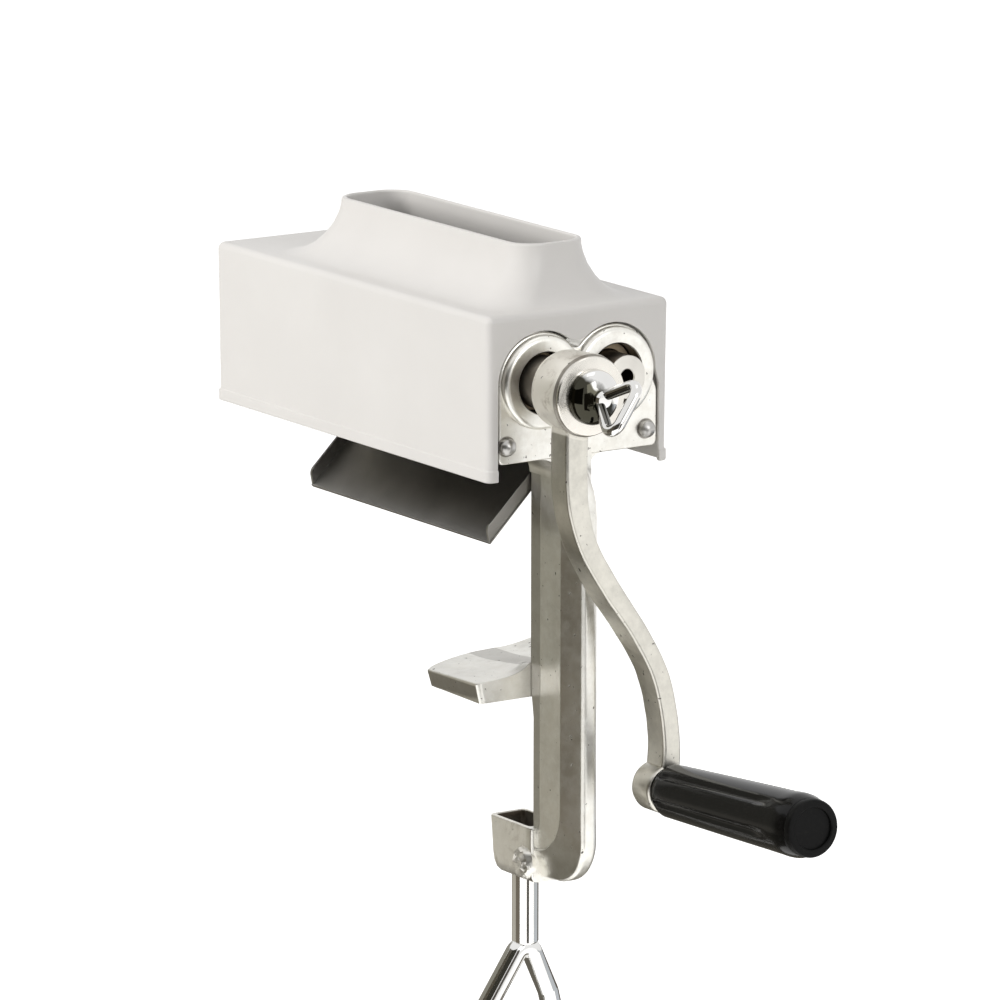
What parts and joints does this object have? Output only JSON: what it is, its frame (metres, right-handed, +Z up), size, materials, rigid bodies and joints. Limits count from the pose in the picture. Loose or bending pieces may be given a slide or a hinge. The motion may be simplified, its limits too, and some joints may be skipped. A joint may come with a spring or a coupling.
{
  "type": "meat tenderizer",
  "caption": "Hand cranked meat tenderizer with two toothed blade rollers under a white hopper cover, on a cast C-frame that clamps to a table edge.",
  "frame": {"origin": "middle of the table rest's underside, on the clamp screw's axis, so the table's top face is Z = 0", "axes": "+Z up, +X towards the crank, +Y towards the back"},
  "size_m": [0.37, 0.095, 0.3647],
  "materials": {
    "cast_body": "cast, warm grey, satin with small pits",
    "crank_casting": "cast, warm grey, satin",
    "stainless": "turned or sheared stainless steel",
    "polished_chrome": "polished plating",
    "white_cover": "white moulded plastic, satin gloss",
    "black_grip": "black moulded plastic, glossy",
    "bush_metal": "sintered bearing metal, dull"
  },
  "bodies": {
    "frame": {"crank_end_frame": "cast_body", "far_end_frame": "cast_body", "comb_front": "stainless", "comb_rear": "stainless", "tie_rod_front": "stainless", "tie_rod_rear": "stainless", "tie_nuts": "stainless", "chute": "stainless", "chute_screws": "stainless", "bush_crank_end_front": "bush_metal", "bush_crank_end_rear": "bush_metal", "bush_far_end_front": "bush_metal", "bush_far_end_rear": "bush_metal"},
    "cover": {"cover": "white_cover"},
    "front_roller": {"front_shaft": "stainless", "front_blades": "stainless", "front_spacers": "stainless", "front_end_collars": "stainless", "front_gear": "stainless", "front_gear_ring": "stainless", "crank_arm": "crank_casting", "crank_washer": "polished_chrome", "grip_spindle": "polished_chrome"},
    "rear_roller": {"rear_shaft": "stainless", "rear_blades": "stainless", "rear_spacers": "stainless", "rear_end_collars": "stainless", "rear_gear": "stainless", "rear_gear_ring": "stainless"},
    "thumb_screw": {"thumb_screw": "polished_chrome"},
    "grip": {"grip": "black_grip", "grip_cap": "black_grip"},
    "clamp_pad": {"clamp_pad": "polished_chrome"},
    "clamp_screw": {"clamp_screw": "polished_chrome"}
  },
  "joints": [
    {"name": "crank_spin", "type": "hinge", "parent": "frame", "child": "front_roller", "pos_m": [0, -0.0183, 0.1449], "axis": [1, 0, 0], "continuous": true},
    {"name": "rear_roller_spin", "type": "hinge", "parent": "frame", "child": "rear_roller", "pos_m": [0, 0.0183, 0.1449], "axis": [1, 0, 0], "continuous": true},
    {"name": "grip_spin", "type": "hinge", "parent": "front_roller", "child": "grip", "pos_m": [0.075, 0.0256, -0.0336], "axis": [0.9965, -0.047, 0.0698], "continuous": true},
    {"name": "thumb_screw_turn", "type": "hinge", "parent": "front_roller", "child": "thumb_screw", "pos_m": [0.08, -0.0183, 0.1449], "axis": [1, 0, 0], "range_deg": [0, 90]},
    {"name": "cover_lift", "type": "slide", "parent": "frame", "child": "cover", "axis": [0, 0, 1], "range_m": [0, 0.08]},
    {"name": "clamp_pad_slide", "type": "slide", "parent": "frame", "child": "clamp_pad", "axis": [0, 0, 1], "range_m": [0, 0.025]},
    {"name": "clamp_screw_turn", "type": "hinge", "parent": "clamp_pad", "child": "clamp_screw", "pos_m": [0, 0, -0.09], "axis": [0, 0, 1], "range_deg": [0, 3000]}
  ],
  "couplings": [
    {"joint": "rear_roller_spin", "follows": "crank_spin", "ratio": -1},
    {"joint": "clamp_screw_turn", "follows": "clamp_pad_slide", "rad_per_m": 2094.4}
  ]
}
